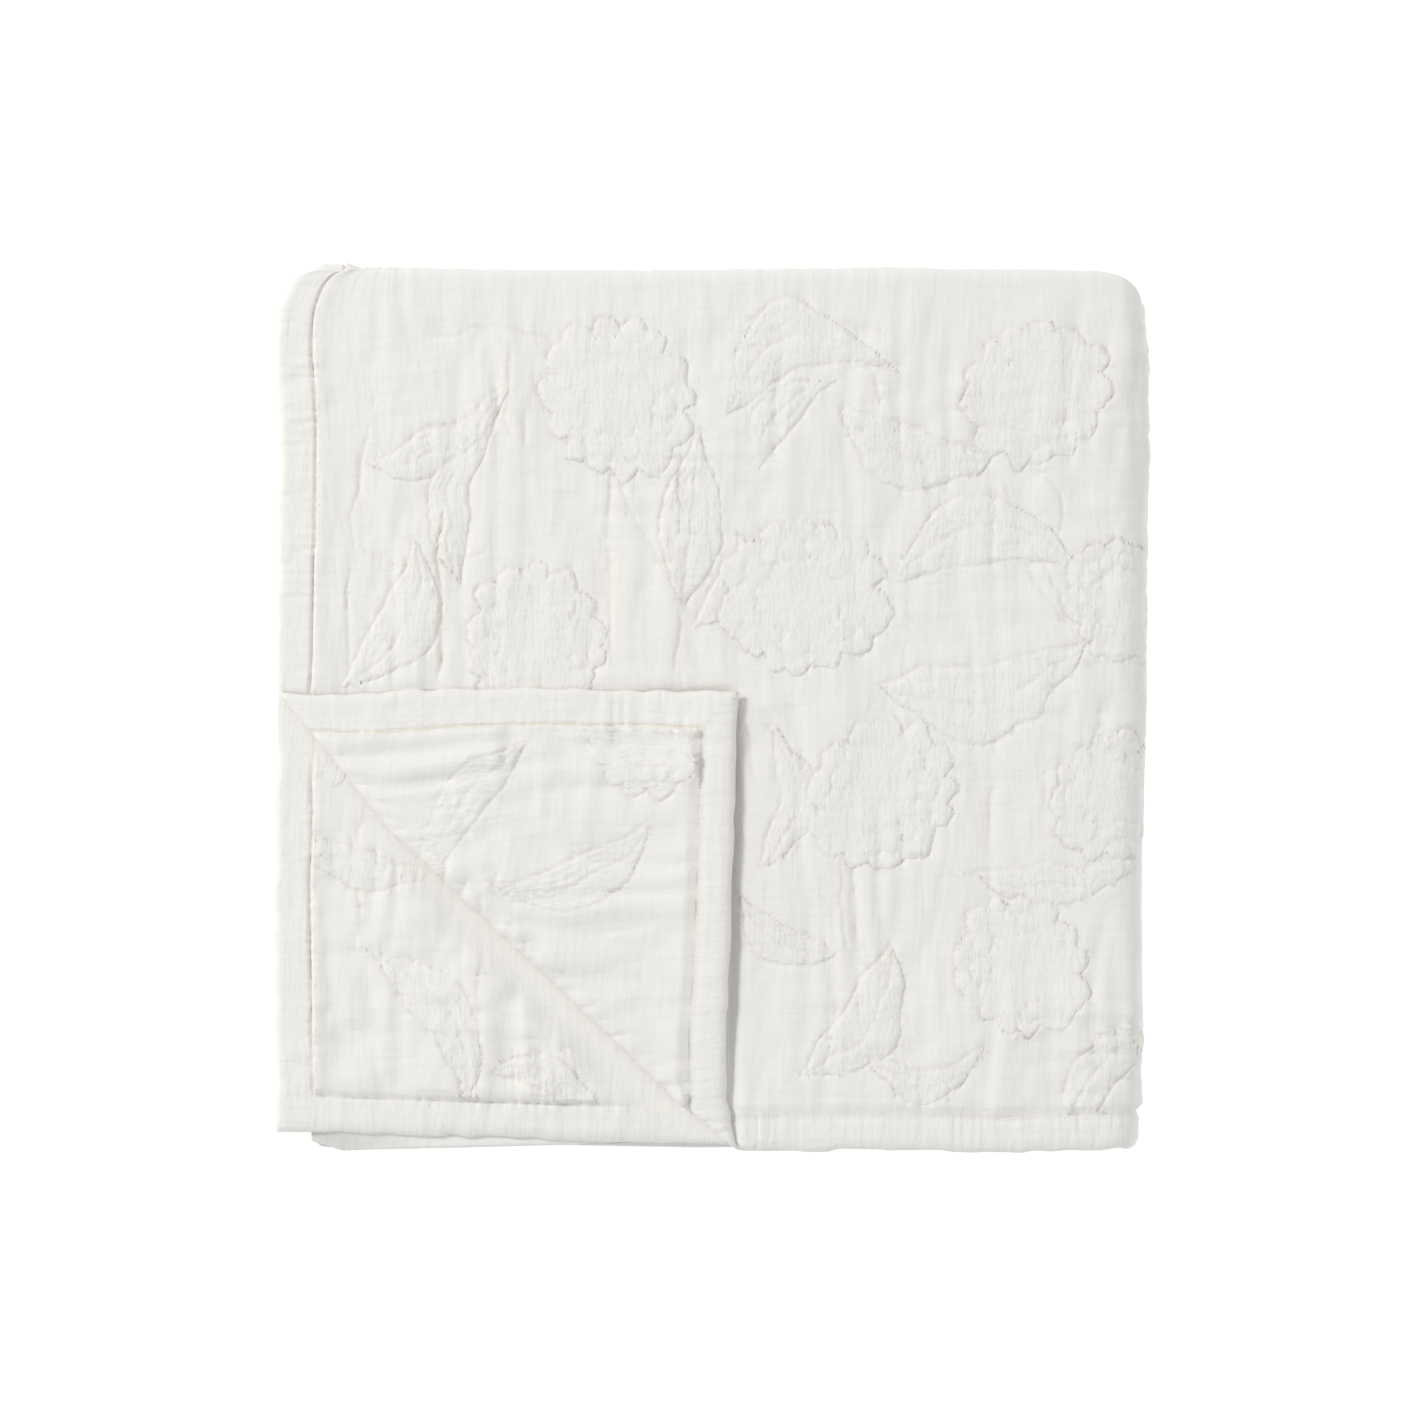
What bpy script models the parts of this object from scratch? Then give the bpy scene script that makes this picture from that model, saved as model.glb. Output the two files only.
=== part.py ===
"""A square cotton bedspread, folded in four both ways, with one corner of the top layer turned over.

The cloth is one slab. It is laid flat, marked with the lines that it bends along, and then folded
step by step, as by hand: the turned corner first, the length in half and in half again, and then
the width in half and in half again, which leaves sixteen layers.
Flat, the cloth's lower left corner is at the origin, and its face is at z = 0. Units are metres.
"""

import math
from collections import namedtuple

import bmesh
import bpy
import numpy as np

# The cloth
SPREAD = 2.600
CLOTH = 0.0022
HEM = 0.026
HEM_STEP = 0.004
HEM_SWELL = 0.00025
GAP = 0.0008
# Places nearer together than this are the same
NEAR = 1e-6

# The turned corner: how far its crease runs up each edge, and how it lies over the cloth
CORNER = 0.345
CORNER_LIFT = 0.0012
CORNER_RISE = 0.0065
RISE_REACH = 0.085
BOW_REACH = 0.070

# The upper hem that shows where the corner is turned away is this much short of the top layer's
SHORT_OF_HEM = 0.012
# How far the folded ends stand in from the hems over them
WIDTH_LOOP_INSET = 0.010
WIDTH_HEM_INSET = 0.006

Bend = namedtuple("Bend", "radius start steps")
Row = namedtuple("Row", "at out")
Flower = namedtuple("Flower", "x y radius petals turn")
Leaf = namedtuple("Leaf", "x y length width turn curl")


def bend_radius(depth):
    """The outer radius of a bend in a stack of this depth, with half a gap left inside it."""
    return depth + GAP / 2


# Each bend doubles the depth of the stack that the next one has to go round
LENGTH_1_R = bend_radius(CLOTH)
LENGTH_2_R = bend_radius(2 * LENGTH_1_R)
WIDTH_1_R = bend_radius(2 * LENGTH_2_R)
WIDTH_2_R = bend_radius(2 * WIDTH_1_R)

# Where each bend starts, so that the ends lie over each other
length_1_at = (SPREAD - math.pi * LENGTH_1_R + SHORT_OF_HEM) / 2
length_2_at = (length_1_at + LENGTH_1_R - math.pi * LENGTH_2_R) / 2
width_1_at = (SPREAD - math.pi * WIDTH_1_R + WIDTH_HEM_INSET) / 2
width_2_at = (width_1_at + WIDTH_1_R + WIDTH_LOOP_INSET - math.pi * WIDTH_2_R) / 2

LENGTH_1 = Bend(LENGTH_1_R, length_1_at, 3)
LENGTH_2 = Bend(LENGTH_2_R, length_2_at, 4)
WIDTH_1 = Bend(WIDTH_1_R, width_1_at, 5)
WIDTH_2 = Bend(WIDTH_2_R, width_2_at, 8)
CORNER_STEPS = 5

# Cross lines on one folded layer, in from the hem, which every layer repeats
LAYER_X = (0.150, 0.300, 0.450)
LAYER_Y = (0.160, 0.320, 0.480, 0.590, 0.628)

# How far each crease wanders out of line, at those lines, and what each hem stands in
WIDTH_2_CREASE = (
    Row(0.0, -0.0040),
    Row(0.160, -0.0015),
    Row(0.320, 0.0),
    Row(0.480, 0.0005),
    Row(0.590, 0.0015),
    Row(0.700, 0.0),
)
WIDTH_1_CREASE = (
    Row(0.0, -0.004),
    Row(0.160, 0.002),
    Row(0.320, -0.002),
    Row(0.480, 0.003),
    Row(0.590, -0.001),
    Row(0.700, -0.002),
)
LENGTH_2_CREASE = (
    Row(0.0, 0.0040),
    Row(0.026, 0.0040),
    Row(0.045, 0.0005),
    Row(0.150, -0.0005),
    Row(0.300, -0.0015),
    Row(0.450, 0.0005),
    Row(0.600, -0.0020),
    Row(0.720, -0.001),
    Row(0.950, -0.003),
    Row(1.200, 0.001),
    Row(1.450, -0.002),
    Row(1.700, 0.002),
    Row(2.000, -0.003),
    Row(2.350, 0.002),
    Row(2.600, -0.001),
)
LENGTH_1_CREASE = (
    Row(0.0, 0.001),
    Row(0.030, 0.003),
    Row(0.150, -0.002),
    Row(0.300, -0.008),
    Row(0.450, -0.002),
    Row(0.600, -0.007),
    Row(1.100, 0.000),
    Row(1.700, -0.005),
    Row(2.600, -0.002),
)
CORNER_CREASE = (
    Row(0.0, 0.0),
    Row(0.060, 0.006),
    Row(0.135, 0.015),
    Row(0.200, 0.012),
    Row(0.270, 0.010),
    Row(0.390, 0.006),
    Row(0.490, 0.0),
)
LEFT_HEM = (
    Row(0.0, 0.0),
    Row(0.150, -0.003),
    Row(0.300, 0.0),
    Row(0.380, 0.0),
    Row(0.520, 0.0025),
    Row(0.600, 0.0),
    Row(0.640, -0.001),
    Row(0.950, 0.010),
    Row(1.280, 0.026),
    Row(1.330, 0.024),
    Row(1.700, 0.008),
    Row(2.000, 0.003),
    Row(2.280, 0.001),
    Row(2.420, -0.002),
    Row(2.600, 0.0),
)
RIGHT_HEM = (
    Row(0.0, 0.012),
    Row(0.300, 0.004),
    Row(0.640, 0.007),
    Row(1.000, 0.002),
    Row(1.300, 0.010),
    Row(1.700, 0.005),
    Row(2.100, 0.001),
    Row(2.600, 0.012),
)
LOWER_HEM = (
    Row(0.0, -0.002),
    Row(0.150, 0.003),
    Row(0.240, 0.0065),
    Row(0.300, 0.005),
    Row(0.330, 0.0),
    Row(0.380, 0.0),
    Row(0.450, 0.001),
    Row(0.530, -0.001),
    Row(0.600, 0.001),
    Row(1.200, 0.006),
    Row(1.900, 0.001),
    Row(2.600, 0.005),
)
UPPER_HEM = (
    Row(0.0, 0.0),
    Row(0.030, -0.004),
    Row(0.150, 0.002),
    Row(0.300, 0.0095),
    Row(0.450, -0.002),
    Row(0.600, 0.008),
    Row(1.300, 0.006),
    Row(2.000, -0.002),
    Row(2.600, 0.004),
)
HEM_PULL = 0.110

# The rounding of the folded stack's corners: how far along and how deep
TOP_LEFT_REACH = 0.047
TOP_LEFT_DRAW = 0.029
TOP_RIGHT_REACH = 0.042
TOP_RIGHT_DRAW = 0.019
LOWER_LEFT_REACH = 0.055
LOWER_LEFT_DRAW = 0.030
DRAW_FADE = 0.095

# The puckers of the weave: soft ridges that run along the warp, of uneven width and height
RIDGE_PITCH = 0.036
RIDGE_HEIGHT = 0.0020
RIDGE_SWAY = 0.009
SWAY_ALONG = 0.310
SWAY_ACROSS = 0.470
RIDGE_CROWDING = 1.3
CROWDING_ACROSS = 0.230
RIDGE_BEAT = 0.170
BEAT_SHARE = 0.42
BEAT_SHIFT = 0.37
REVERSE_RIDGES = 1.4
HEM_FADE = 0.010
STEP_ACROSS = 0.0125
STEP_ALONG = 0.0165
FOLD_STEP = 0.030

# The woven flowers and leaves, which stand up from the face in soft domes
FLOWER_HEIGHT = 0.0026
LEAF_HEIGHT = 0.0022
PETAL_DEPTH = 0.16
HEART = 0.36
HEART_DEPTH = 0.2
MIDRIB_WIDTH = 0.33
MIDRIB_DEPTH = 0.35
MOTIF_CALM = 0.7
FLOWERS = (
    Flower(0.387, 0.409, 0.062, 9, 0.2),
    Flower(0.446, 0.262, 0.056, 8, 0.9),
    Flower(0.251, 0.556, 0.060, 9, 0.5),
    Flower(0.560, 0.559, 0.055, 8, 0.0),
    Flower(0.549, 0.137, 0.052, 8, 0.4),
    Flower(0.189, 0.372, 0.058, 9, 0.7),
    Flower(0.620, 0.262, 0.050, 8, 0.1),
)
LEAVES = (
    Leaf(0.123, 0.526, 0.125, 0.034, 0.50, 0.5),
    Leaf(0.137, 0.478, 0.120, 0.030, 1.35, -0.7),
    Leaf(0.306, 0.467, 0.125, 0.044, 1.50, 0.0),
    Leaf(0.085, 0.394, 0.120, 0.042, 1.15, 0.6),
    Leaf(0.387, 0.580, 0.130, 0.052, 0.25, -0.9),
    Leaf(0.470, 0.519, 0.120, 0.044, -0.30, 0.5),
    Leaf(0.523, 0.440, 0.140, 0.050, 0.05, -0.8),
    Leaf(0.523, 0.345, 0.155, 0.058, 0.22, 0.5),
    Leaf(0.575, 0.203, 0.125, 0.030, 0.12, 0.6),
    Leaf(0.428, 0.100, 0.115, 0.046, 1.00, 0.5),
    Leaf(0.613, 0.056, 0.100, 0.034, 0.80, -0.5),
)

WARM_WHITE = (0.86, 0.85, 0.81, 1.0)
CLOTH_ROUGHNESS = 0.9


def clear_scene():
    for obj in list(bpy.data.objects):
        bpy.data.objects.remove(obj, do_unlink=True)


def read_rows(rows, at):
    """The table's value at each place, in straight lines between its rows."""
    return np.interp(at, [row.at for row in rows], [row.out for row in rows])


def ease(value):
    """A smooth step from 0 to 1."""
    held = np.clip(value, 0.0, 1.0)
    return held * held * (3.0 - 2.0 * held)


def bend_lines(bend):
    """Places across a bend, from its start to its end, in the plane before it is bent."""
    return [bend.start + bend.radius * math.pi * k / bend.steps for k in range(bend.steps + 1)]


def lines_across(first, second, layer_lines):
    """The lines marked on the flat cloth for a half fold `first` made before a half fold `second`."""
    hem_lines = [0.0, HEM, HEM + HEM_STEP]
    front = hem_lines + list(layer_lines) + bend_lines(second)
    # The rest of the front half lies back over the same lines of the layer
    turned = 2 * second.start + math.pi * second.radius
    front += [turned - line for line in layer_lines if turned - line < first.start - HEM_STEP]
    # The back half repeats the front half's lines, mirrored by the first fold
    mirrored = 2 * first.start + math.pi * first.radius
    back = [mirrored - line for line in front if mirrored - line < SPREAD - HEM - 3 * HEM_STEP]
    back += [SPREAD - line for line in hem_lines]
    return np.array(sorted(front + bend_lines(first) + back))


def slab(x_lines, y_lines):
    """A flat closed slab of cloth, marked along these lines."""
    made = bmesh.new()
    bmesh.ops.create_grid(
        made, x_segments=len(x_lines) - 1, y_segments=len(y_lines) - 1, size=1.0
    )
    for vert in made.verts:
        column = round((vert.co.x + 1.0) / 2.0 * (len(x_lines) - 1))
        row = round((vert.co.y + 1.0) / 2.0 * (len(y_lines) - 1))
        vert.co = (x_lines[column], y_lines[row], 0.0)
    under = bmesh.ops.extrude_face_region(made, geom=made.faces[:], use_keep_orig=True)
    moved = [item for item in under["geom"] if isinstance(item, bmesh.types.BMVert)]
    for vert in moved:
        vert.co.z = -CLOTH
    bmesh.ops.recalc_face_normals(made, faces=made.faces[:])
    return made


def cut_finer(made, face_side, axis, step, low, high):
    """Cuts the faces of one side of the slab across this axis, between two corners of the cloth."""
    by_cuts = {}
    for face in made.faces:
        middle = face.calc_center_median()
        inside = low[0] < middle.x < high[0] and low[1] < middle.y < high[1]
        if not inside or abs(middle.z - face_side) > CLOTH / 10:
            continue
        for edge in face.edges:
            run = edge.verts[1].co - edge.verts[0].co
            cuts = round(abs(run[axis]) / step) - 1
            if cuts > 0 and abs(run[1 - axis]) < CLOTH / 10:
                by_cuts.setdefault(cuts, set()).add(edge)
    for cuts, edges in by_cuts.items():
        bmesh.ops.subdivide_edges(made, edges=list(edges), cuts=cuts, use_grid_fill=True)


def cut_shown_faces(made):
    """Gives the faces that show the points that their puckers and flowers need."""
    past_right = WIDTH_2.start + math.pi * WIDTH_2.radius
    past_top = LENGTH_2.start + math.pi * LENGTH_2.radius
    upper = SPREAD - LAYER_Y[1]
    for axis, step in ((0, STEP_ACROSS), (1, STEP_ALONG)):
        cut_finer(made, 0.0, axis, step, (HEM, HEM), (WIDTH_2.start, LENGTH_2.start))
    for axis, step in ((0, STEP_ACROSS), (1, FOLD_STEP)):
        cut_finer(made, -CLOTH, axis, step, (HEM, HEM), (LAYER_X[1], LAYER_Y[1]))
        cut_finer(made, -CLOTH, axis, step, (HEM, upper), (LAYER_X[1], SPREAD - HEM))
    cut_finer(made, 0.0, 1, STEP_ALONG, (0.0, LAYER_Y[2]), (HEM, LENGTH_2.start))
    cut_finer(made, 0.0, 0, FOLD_STEP, (0.0, LENGTH_2.start), (WIDTH_2.start, past_top))
    cut_finer(made, 0.0, 1, FOLD_STEP, (WIDTH_2.start, 0.0), (past_right, LENGTH_2.start))
    cut_finer(made, 0.0, 0, FOLD_STEP, (0.0, 0.0), (WIDTH_2.start, HEM))
    cut_finer(made, 0.0, 1, FOLD_STEP, (0.0, 0.0), (HEM, LAYER_Y[2]))
    cut_finer(made, -CLOTH, 0, FOLD_STEP, (0.0, 0.0), (LAYER_X[1], HEM))
    cut_finer(made, -CLOTH, 1, FOLD_STEP, (0.0, 0.0), (HEM, LAYER_Y[1]))


def mark_corner_crease(made):
    """Cuts the slab along the lines that the turned corner bends along."""
    radius = CLOTH + CORNER_LIFT
    for step in range(CORNER_STEPS + 1):
        past = radius * math.pi * step / CORNER_STEPS
        place = (CORNER - past * math.sqrt(2.0), 0.0, 0.0)
        bmesh.ops.bisect_plane(
            made,
            geom=made.verts[:] + made.edges[:] + made.faces[:],
            dist=NEAR,
            plane_co=place,
            plane_no=(1.0, 1.0, 0.0),
        )


def ridges(x, y):
    """The height of the puckers: rows of soft ridges, each swelling and fading along its length."""
    turn = 2 * math.pi
    sway = RIDGE_SWAY * np.cos(turn * y / SWAY_ALONG) * np.sin(turn * x / SWAY_ACROSS)
    across = turn * (x + sway) / RIDGE_PITCH + RIDGE_CROWDING * np.sin(turn * x / CROWDING_ACROSS)
    column = np.floor(across / turn)
    beat = 1.0 - BEAT_SHARE + BEAT_SHARE * np.sin(turn * (y / RIDGE_BEAT + BEAT_SHIFT * column))
    return RIDGE_HEIGHT * beat * 0.5 * (1.0 - np.cos(across))


def flower_dome(x, y, flower):
    """A round dome with a scalloped edge and a sunken ring about its heart."""
    across, up = x - flower.x, y - flower.y
    angle = np.arctan2(up, across) + flower.turn
    edge = flower.radius * (1.0 - PETAL_DEPTH * (1.0 - np.abs(np.cos(flower.petals * angle / 2))))
    out = np.hypot(across, up) / edge
    dome = np.sqrt(np.clip(1.0 - out**2, 0.0, 1.0))
    return dome * (1.0 - HEART_DEPTH + HEART_DEPTH * np.cos(2 * math.pi * out / HEART))


def leaf_dome(x, y, leaf):
    """A pointed dome along a curved midrib, which is sunken."""
    across, up = x - leaf.x, y - leaf.y
    along = (across * math.cos(leaf.turn) + up * math.sin(leaf.turn)) / leaf.length * 2.0
    bend = leaf.curl * leaf.width * (along**2 - 0.5)
    side = -across * math.sin(leaf.turn) + up * math.cos(leaf.turn) - bend
    half = leaf.width / 2 * np.clip(1.0 - along**2, 0.0, 1.0) + NEAR
    out = np.abs(side) / half
    dome = np.clip(1.0 - out**2, 0.0, 1.0)
    return dome * (1.0 - MIDRIB_DEPTH * (1.0 - np.minimum(out / MIDRIB_WIDTH, 1.0)))


def relief(x, y):
    """How far the face stands up: puckers between the flowers and leaves, which are smoother."""
    raised = np.zeros_like(x)
    for flower in FLOWERS:
        raised = np.maximum(raised, FLOWER_HEIGHT * flower_dome(x, y, flower))
    for leaf in LEAVES:
        raised = np.maximum(raised, LEAF_HEIGHT * leaf_dome(x, y, leaf))
    calm = 1.0 - MOTIF_CALM * ease(raised / LEAF_HEIGHT)
    return raised + ridges(x, y) * calm


def past_crease(x, y):
    """How far a point of the flat cloth lies past the turned corner's crease, towards the corner."""
    return (CORNER - x - y) / math.sqrt(2.0)


def shape_faces(points):
    """Swells the hems and raises the puckers on the faces that show."""
    x, y, z = points.T
    face = z > -CLOTH / 2
    edge = np.minimum(np.minimum(x, SPREAD - x), np.minimum(y, SPREAD - y))
    swell = np.where(edge < HEM + NEAR, HEM_SWELL, 0.0)
    inside = ease((edge - HEM) / HEM_FADE)
    # The face lies flat under the turned corner, and again past the outermost bends
    uncovered = ease((np.maximum(x, y) - CORNER - GAP) / HEM)
    round_right = ease(2.0 - (x - WIDTH_2.start) / (math.pi / 2 * WIDTH_2.radius))
    round_top = ease(2.0 - (y - LENGTH_2.start) / (math.pi / 2 * LENGTH_2.radius))
    front = np.where(face, relief(x, y) * uncovered * round_right * round_top, 0.0)
    # The reverse shows on the turned corner, and on the layer that it leaves bare
    turned = ease((past_crease(x, y) - math.pi * (CLOTH + CORNER_LIFT)) / HEM)
    bare = ease((past_crease(x, SPREAD - y) - HEM) / HEM)
    reverse = np.where(face, 0.0, REVERSE_RIDGES * turned + bare) * ridges(x, y)
    points[:, 2] = z + np.where(face, swell, -swell) + (front - reverse) * inside
    return points


def pull_hems(points):
    """Moves each hem in or out of line, and lets the cloth beside it follow."""
    x, y = points[:, 0].copy(), points[:, 1].copy()

    def near(distance):
        return 1.0 - ease((distance - HEM) / HEM_PULL)

    points[:, 0] += read_rows(LEFT_HEM, y) * near(x) - read_rows(RIGHT_HEM, y) * near(SPREAD - x)
    points[:, 1] += read_rows(LOWER_HEM, x) * near(y) - read_rows(UPPER_HEM, x) * near(SPREAD - y)
    return points


def turn_corner(points):
    """Turns the lower left corner up and over, on to the face of the cloth."""
    radius = CLOTH + CORNER_LIFT
    x, y, z = points.T.copy()
    past = past_crease(x, y)
    along = (x - y) / math.sqrt(2.0)
    angle = np.clip(past / radius, 0.0, math.pi)
    reach = CORNER_LIFT - z
    beyond = np.maximum(past - math.pi * radius, 0.0)
    out = np.where(past > 0.0, reach * np.sin(angle) - beyond, past)
    # The crease bows out towards the corner, and the cloth beside it goes with it
    bow = read_rows(CORNER_CREASE, along + CORNER / math.sqrt(2.0))
    out += bow * (1.0 - ease(np.abs(out) / BOW_REACH))
    foot = CORNER / math.sqrt(2.0)
    points[:, 0] = (foot - out + along) / math.sqrt(2.0)
    points[:, 1] = (foot - out - along) / math.sqrt(2.0)
    # The lower hem, which the turn brings round to the right, stands off the cloth
    rise = CORNER_RISE * (1.0 - ease(y / RISE_REACH)) * ease(beyond / RISE_REACH)
    points[:, 2] = np.where(past > 0.0, CORNER_LIFT - reach * np.cos(angle) + rise, z)
    return points


def fold_under(points, axis, bend, crease):
    """Carries all that lies past the bend round and under the rest of the stack."""
    start = bend.start + read_rows(crease, points[:, 1 - axis])
    past = points[:, axis] - start
    reach = bend.radius + points[:, 2]
    angle = np.clip(past / bend.radius, 0.0, math.pi)
    beyond = np.maximum(past - math.pi * bend.radius, 0.0)
    turned = past > 0.0
    points[:, axis] = np.where(turned, start + reach * np.sin(angle) - beyond, points[:, axis])
    points[:, 2] = np.where(turned, reach * np.cos(angle) - bend.radius, points[:, 2])
    return points


def corner_draw(past, reach, draw):
    """How far a corner is drawn in by an elliptical rounding, this far past the rounding's start."""
    return draw * (1.0 - np.sqrt(1.0 - np.clip(past / reach, 0.0, 1.0) ** 2))


def round_corners(points):
    """Draws in the stack's upper corners, and the lower left one of the panels under the first."""
    x, y, z = points.T.copy()
    top = LENGTH_2.start + LENGTH_2.radius
    right = WIDTH_2.start + WIDTH_2.radius
    upper_left = corner_draw(y - top + TOP_LEFT_REACH, TOP_LEFT_REACH, TOP_LEFT_DRAW)
    upper_right = corner_draw(x - right + TOP_RIGHT_REACH, TOP_RIGHT_REACH, TOP_RIGHT_DRAW)
    lower_left = corner_draw(LOWER_LEFT_REACH - y, LOWER_LEFT_REACH, LOWER_LEFT_DRAW)
    lower_left = np.where(z < -2 * LENGTH_2.radius, lower_left, 0.0)
    points[:, 0] += (upper_left + lower_left) * (1.0 - ease(x / DRAW_FADE))
    points[:, 1] -= upper_right * (1.0 - ease((top - y) / DRAW_FADE))
    return points


def fold_cloth(points):
    """Takes points of the flat cloth to their places in the folded stack."""
    points = pull_hems(points)
    points = turn_corner(points)
    points = fold_under(points, 1, LENGTH_1, LENGTH_1_CREASE)
    points = fold_under(points, 1, LENGTH_2, LENGTH_2_CREASE)
    points = fold_under(points, 0, WIDTH_1, WIDTH_1_CREASE)
    points = fold_under(points, 0, WIDTH_2, WIDTH_2_CREASE)
    return round_corners(points)


def stand_on_origin(points):
    """Rests the stack on z = 0, with the middle of its box over the origin."""
    low, high = points.min(axis=0), points.max(axis=0)
    middle = (low + high) / 2
    return points - np.array((middle[0], middle[1], low[2]))


def cotton():
    material = bpy.data.materials.new("warm_white_cotton")
    material.use_nodes = True
    shader = material.node_tree.nodes["Principled BSDF"]
    shader.inputs["Base Color"].default_value = WARM_WHITE
    shader.inputs["Roughness"].default_value = CLOTH_ROUGHNESS
    shader.inputs["Metallic"].default_value = 0.0
    return material


def build_bedspread(collection):
    x_lines = lines_across(WIDTH_1, WIDTH_2, LAYER_X)
    y_lines = lines_across(LENGTH_1, LENGTH_2, LAYER_Y)
    made = slab(x_lines, y_lines)
    cut_shown_faces(made)
    mark_corner_crease(made)
    bmesh.ops.triangulate(made, faces=made.faces[:])
    flat = np.array([vert.co[:] for vert in made.verts])
    folded = stand_on_origin(fold_cloth(shape_faces(flat)))
    for vert, place in zip(made.verts, folded):
        vert.co = place
    mesh = bpy.data.meshes.new("bedspread")
    made.to_mesh(mesh)
    made.free()
    mesh.shade_smooth()
    mesh.materials.append(cotton())
    bedspread = bpy.data.objects.new("bedspread", mesh)
    collection.objects.link(bedspread)
    return bedspread


clear_scene()
parts = bpy.data.collections.new("folded_bedspread")
bpy.context.scene.collection.children.link(parts)
build_bedspread(parts)
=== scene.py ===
"""The looks of a folded cotton bedspread with flowers and leaves woven into it in relief.

The cloth is drawn flat, as a lattice that is fine where the folded bedspread shows and coarse where
it doesn't, and is then folded in the same steps and sizes as the solid that it stands for.
Flat, its lower left corner is at the origin and its face is at z = 0. Units are metres.
"""

import math
from collections import namedtuple

import bpy
import numpy as np
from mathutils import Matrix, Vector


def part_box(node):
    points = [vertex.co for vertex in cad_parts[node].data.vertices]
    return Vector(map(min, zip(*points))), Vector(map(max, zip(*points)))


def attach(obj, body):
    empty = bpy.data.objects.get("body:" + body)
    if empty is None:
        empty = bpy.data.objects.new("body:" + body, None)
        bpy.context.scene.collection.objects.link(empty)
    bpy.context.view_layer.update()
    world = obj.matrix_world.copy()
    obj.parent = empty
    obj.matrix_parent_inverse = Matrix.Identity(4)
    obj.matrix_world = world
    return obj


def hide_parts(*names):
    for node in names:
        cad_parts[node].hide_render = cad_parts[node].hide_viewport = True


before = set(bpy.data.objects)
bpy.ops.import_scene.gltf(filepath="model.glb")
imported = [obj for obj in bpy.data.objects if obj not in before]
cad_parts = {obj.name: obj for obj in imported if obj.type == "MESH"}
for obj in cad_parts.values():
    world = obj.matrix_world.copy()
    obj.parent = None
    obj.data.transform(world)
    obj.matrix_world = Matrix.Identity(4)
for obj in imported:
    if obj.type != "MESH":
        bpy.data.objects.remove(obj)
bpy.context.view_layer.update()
STACK_LOW, STACK_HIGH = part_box("bedspread")

# The cloth
SPREAD = 2.600
CLOTH = 0.0022
HEM = 0.026
HEM_SWELL = 0.00025
RIM_ROUND = 0.0009
GAP = 0.0008

# The turned corner: how far its crease runs up each edge, and how it lies over the cloth
CORNER = 0.345
CORNER_LIFT = 0.0012
CORNER_RISE = 0.0065
RISE_REACH = 0.085
BOW_REACH = 0.070
CORNER_EDGE = 0.335
EDGE_FADE = 0.009

SHORT_OF_HEM = 0.012
WIDTH_LOOP_INSET = 0.010
WIDTH_HEM_INSET = 0.006

Bend = namedtuple("Bend", "radius start steps")
Row = namedtuple("Row", "at out")
Flower = namedtuple("Flower", "x y radius petals turn")
Leaf = namedtuple("Leaf", "x y length width turn curl")
Stem = namedtuple("Stem", "x0 y0 x1 y1 x2 y2")
Crease = namedtuple("Crease", "x low high depth")
Ring = namedtuple("Ring", "share petals shift")
Strip = namedtuple("Strip", "end cells fine")
Patch = namedtuple("Patch", "x y seed")
Lamp = namedtuple("Lamp", "name kind energy spread place")


def bend_radius(depth):
    """The outer radius of a bend in a stack of this depth, with half a gap left inside it."""
    return depth + GAP / 2


LENGTH_1_R = bend_radius(CLOTH)
LENGTH_2_R = bend_radius(2 * LENGTH_1_R)
WIDTH_1_R = bend_radius(2 * LENGTH_2_R)
WIDTH_2_R = bend_radius(2 * WIDTH_1_R)

length_1_at = (SPREAD - math.pi * LENGTH_1_R + SHORT_OF_HEM) / 2
length_2_at = (length_1_at + LENGTH_1_R - math.pi * LENGTH_2_R) / 2
width_1_at = (SPREAD - math.pi * WIDTH_1_R + WIDTH_HEM_INSET) / 2
width_2_at = (width_1_at + WIDTH_1_R + WIDTH_LOOP_INSET - math.pi * WIDTH_2_R) / 2

LENGTH_1 = Bend(LENGTH_1_R, length_1_at, 5)
LENGTH_2 = Bend(LENGTH_2_R, length_2_at, 8)
WIDTH_1 = Bend(WIDTH_1_R, width_1_at, 8)
WIDTH_2 = Bend(WIDTH_2_R, width_2_at, 14)

# How far each crease wanders out of line, and what each hem stands in
WIDTH_2_CREASE = (
    Row(0.0, -0.0040),
    Row(0.160, -0.0015),
    Row(0.320, 0.0),
    Row(0.480, 0.0005),
    Row(0.590, 0.0015),
    Row(0.700, 0.0),
)
WIDTH_1_CREASE = (
    Row(0.0, -0.004),
    Row(0.160, 0.002),
    Row(0.320, -0.002),
    Row(0.480, 0.003),
    Row(0.590, -0.001),
    Row(0.700, -0.002),
)
LENGTH_2_CREASE = (
    Row(0.0, 0.0040),
    Row(0.026, 0.0040),
    Row(0.045, 0.0005),
    Row(0.150, -0.0005),
    Row(0.300, -0.0015),
    Row(0.450, 0.0005),
    Row(0.600, -0.0020),
    Row(0.720, -0.001),
    Row(0.950, -0.003),
    Row(1.200, 0.001),
    Row(1.450, -0.002),
    Row(1.700, 0.002),
    Row(2.000, -0.003),
    Row(2.350, 0.002),
    Row(2.600, -0.001),
)
LENGTH_1_CREASE = (
    Row(0.0, 0.001),
    Row(0.030, 0.003),
    Row(0.150, -0.002),
    Row(0.300, -0.008),
    Row(0.450, -0.002),
    Row(0.600, -0.007),
    Row(1.100, 0.000),
    Row(1.700, -0.005),
    Row(2.600, -0.002),
)
CORNER_CREASE = (
    Row(0.0, 0.0),
    Row(0.060, 0.006),
    Row(0.135, 0.015),
    Row(0.200, 0.012),
    Row(0.270, 0.010),
    Row(0.390, 0.006),
    Row(0.490, 0.0),
)
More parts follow.
